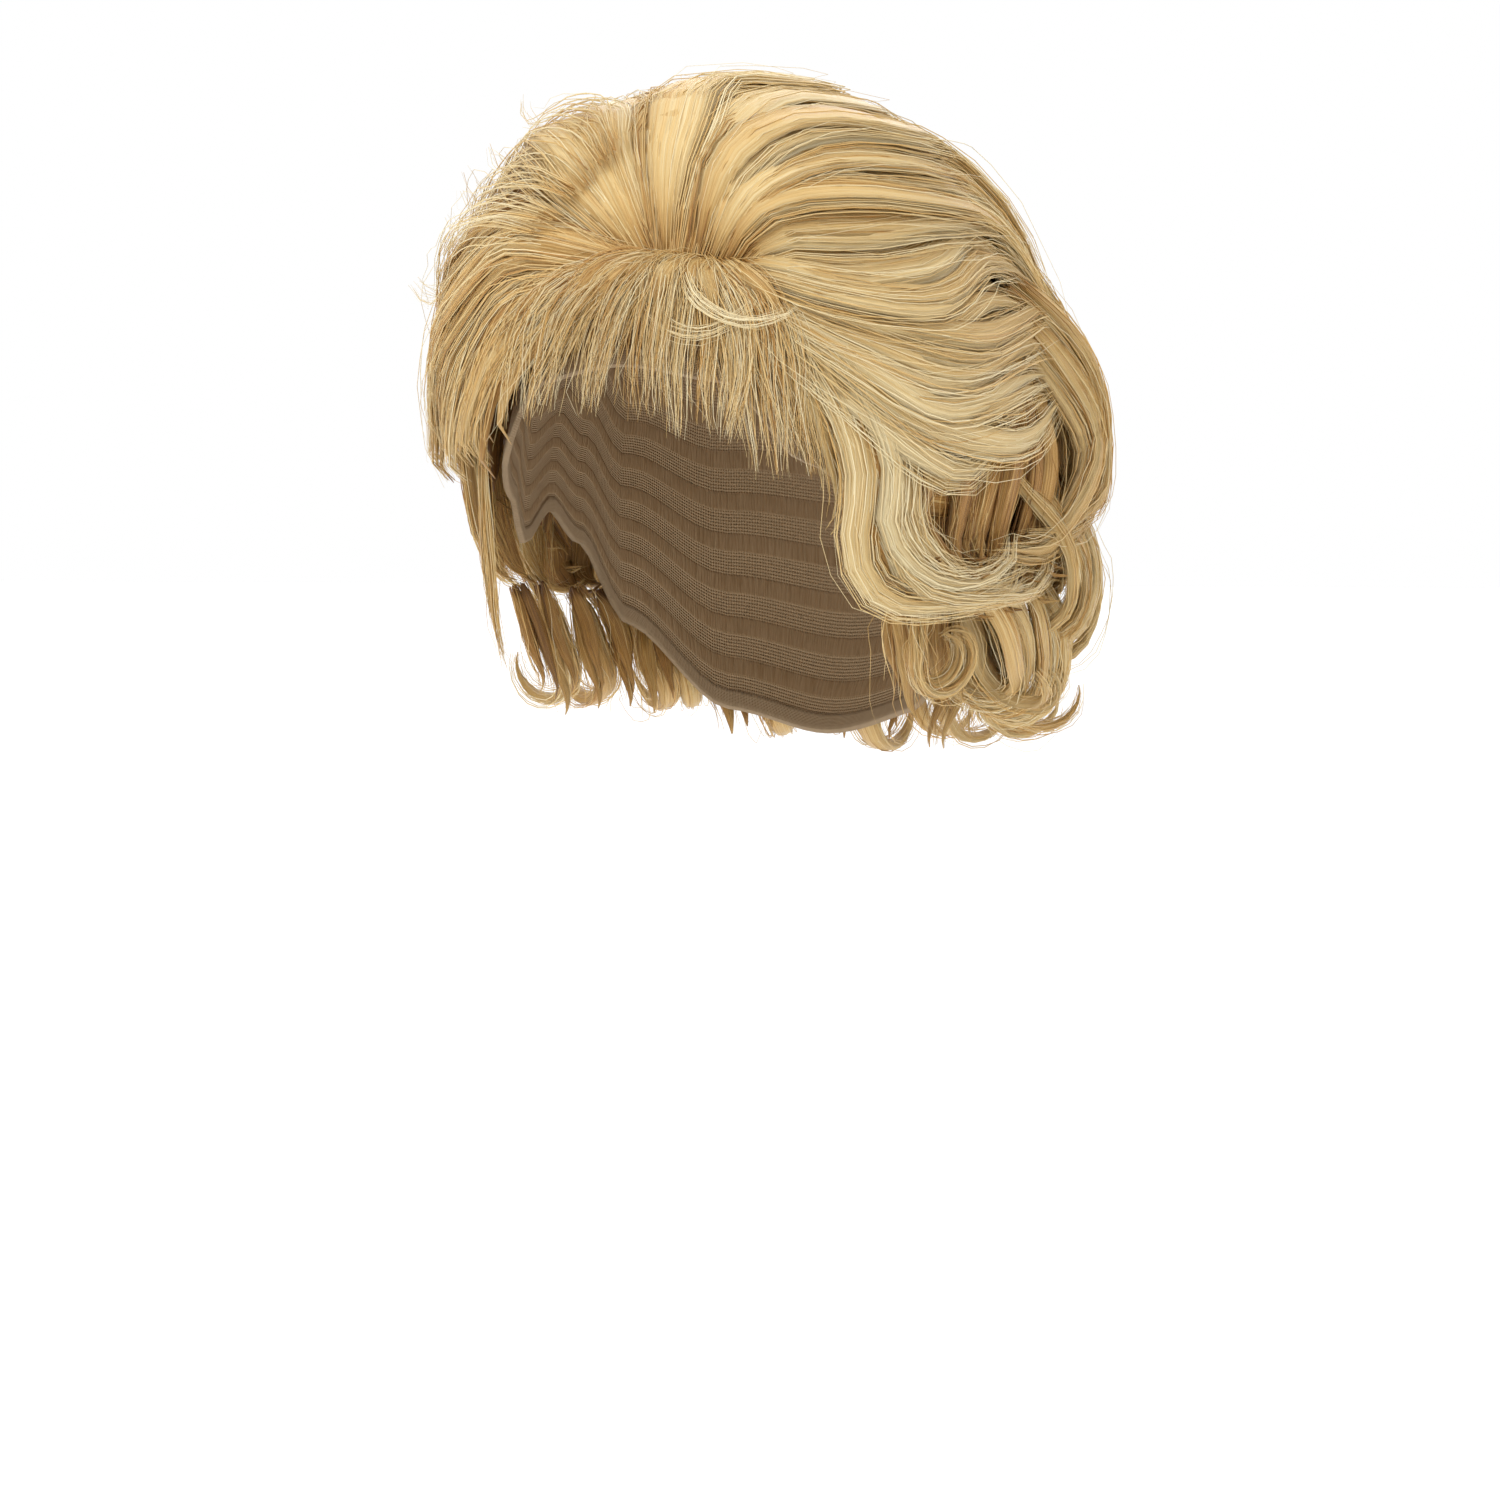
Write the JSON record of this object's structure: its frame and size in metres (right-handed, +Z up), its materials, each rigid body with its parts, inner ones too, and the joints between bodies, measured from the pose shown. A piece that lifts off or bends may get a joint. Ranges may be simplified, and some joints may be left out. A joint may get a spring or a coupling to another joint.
{
  "type": "short wavy wig",
  "caption": "Short wavy golden blonde wig: a full crown swept back from a front parting, a light fringe, feathered sides and curled ends, on an open cap.",
  "frame": {"origin": "inside the top of the cap, where the top of the head that wears it touches", "axes": "+Z up, -Y towards the face, +X towards the wearer's left"},
  "size_m": [0.2507, 0.2743, 0.2674],
  "materials": {
    "cap_net": "fine net with bound edges",
    "hair_crown": "glossy",
    "hair_fringe": "glossy",
    "hair_sides": "glossy",
    "hair_back": "glossy",
    "hair_nape": "glossy"
  },
  "bodies": {
    "root": {"cap": "cap_net", "crown_hair": "hair_crown", "fringe": "hair_fringe", "left_side_hair": "hair_sides", "right_side_hair": "hair_sides", "back_hair": "hair_back", "nape_hair": "hair_nape"}
  },
  "joints": []
}
